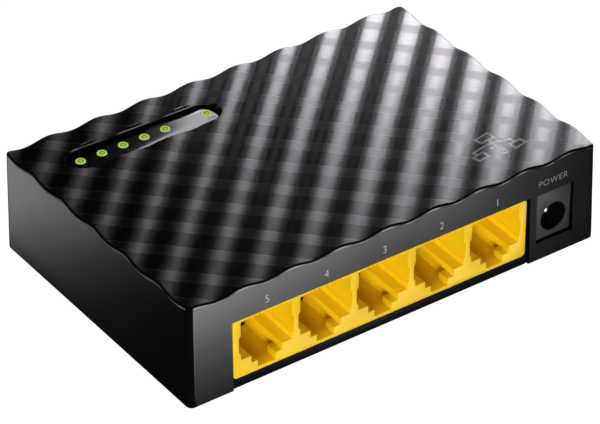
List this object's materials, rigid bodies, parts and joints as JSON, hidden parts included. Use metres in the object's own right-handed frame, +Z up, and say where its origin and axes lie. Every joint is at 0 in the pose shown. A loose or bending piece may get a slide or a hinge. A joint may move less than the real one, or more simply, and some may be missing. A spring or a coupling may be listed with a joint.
{
  "type": "network switch",
  "caption": "Small desktop network switch: black plastic case with a rippled top, a ganged block of modular jacks, a barrel power inlet and a slot-shaped row of status lights.",
  "frame": {"origin": "under the middle of the case, on the plane that the rubber feet stand on", "axes": "+X to the right along the connector side, +Y from the connector side to the back, +Z up"},
  "size_m": [0.1, 0.0674, 0.0244],
  "materials": {
    "shell_black": "satin black, lightly brushed along the waves",
    "base_black": "satin black, fine moulded grain",
    "foot_rubber": "matt black",
    "screw_steel": "dark zinc plate",
    "label_silver": "satin silver film, blank",
    "legend_black": "high gloss",
    "pipe_green": "frosted, tinted green",
    "led_white": "white package",
    "jack_yellow": "satin moulded yellow",
    "carrier_black": "matt black",
    "contact_gold": "gold flash over phosphor bronze",
    "chip_black": "matt epoxy",
    "inlet_grey": "satin dark grey",
    "nickel": "bright nickel plate",
    "board_green": "green solder mask on glass-fibre laminate",
    "ferrite_grey": "sintered ferrite",
    "sleeve_blue": "shrink sleeve"
  },
  "bodies": {
    "housing": {"top_shell": "shell_black", "base_cover": "base_black", "rubber_foot_1": "foot_rubber", "rubber_foot_2": "foot_rubber", "rubber_foot_3": "foot_rubber", "rubber_foot_4": "foot_rubber", "case_screw_1": "screw_steel", "case_screw_2": "screw_steel", "board_screw_1": "screw_steel", "board_screw_2": "screw_steel", "board_screw_3": "screw_steel", "rating_label": "label_silver", "legend_strip": "legend_black", "light_pipe_5": "pipe_green", "led_5": "led_white", "light_pipe_4": "pipe_green", "led_4": "led_white", "light_pipe_3": "pipe_green", "led_3": "led_white", "light_pipe_2": "pipe_green", "led_2": "led_white", "light_pipe_1": "pipe_green", "led_1": "led_white", "light_pipe_power": "pipe_green", "led_power": "led_white", "port_block": "jack_yellow", "contact_carrier_1": "carrier_black", "line_transformer_1": "chip_black", "contact_carrier_2": "carrier_black", "line_transformer_2": "chip_black", "contact_carrier_3": "carrier_black", "line_transformer_3": "chip_black", "contact_carrier_4": "carrier_black", "line_transformer_4": "chip_black", "contact_carrier_5": "carrier_black", "line_transformer_5": "chip_black", "inlet_housing": "inlet_grey", "inlet_pin": "nickel", "circuit_board": "board_green", "switch_chip": "chip_black", "regulator_chip": "chip_black", "choke": "ferrite_grey", "crystal": "nickel", "capacitor_1": "sleeve_blue", "capacitor_2": "sleeve_blue"},
    "port_1_contacts": {"contact_wires_1": "contact_gold"},
    "port_2_contacts": {"contact_wires_2": "contact_gold"},
    "port_3_contacts": {"contact_wires_3": "contact_gold"},
    "port_4_contacts": {"contact_wires_4": "contact_gold"},
    "port_5_contacts": {"contact_wires_5": "contact_gold"},
    "inlet_contact": {"inlet_blade": "nickel"}
  },
  "joints": [
    {"name": "port_1_contact_flex", "type": "hinge", "parent": "housing", "child": "port_1_contacts", "pos_m": [0.02438, -0.03165, 0.01605], "axis": [1, 0, 0], "range_deg": [0, 10], "stiffness_Nm_per_rad": 0.5},
    {"name": "port_2_contact_flex", "type": "hinge", "parent": "housing", "child": "port_2_contacts", "pos_m": [0.01041, -0.03165, 0.01605], "axis": [1, 0, 0], "range_deg": [0, 10], "stiffness_Nm_per_rad": 0.5},
    {"name": "port_3_contact_flex", "type": "hinge", "parent": "housing", "child": "port_3_contacts", "pos_m": [-0.00356, -0.03165, 0.01605], "axis": [1, 0, 0], "range_deg": [0, 10], "stiffness_Nm_per_rad": 0.5},
    {"name": "port_4_contact_flex", "type": "hinge", "parent": "housing", "child": "port_4_contacts", "pos_m": [-0.01753, -0.03165, 0.01605], "axis": [1, 0, 0], "range_deg": [0, 10], "stiffness_Nm_per_rad": 0.5},
    {"name": "port_5_contact_flex", "type": "hinge", "parent": "housing", "child": "port_5_contacts", "pos_m": [-0.0315, -0.03165, 0.01605], "axis": [1, 0, 0], "range_deg": [0, 10], "stiffness_Nm_per_rad": 0.5},
    {"name": "inlet_contact_flex", "type": "hinge", "parent": "housing", "child": "inlet_contact", "pos_m": [0.03938, -0.0213, 0.01475], "axis": [-1, 0, 0], "range_deg": [0, 4], "stiffness_Nm_per_rad": 0.75}
  ]
}
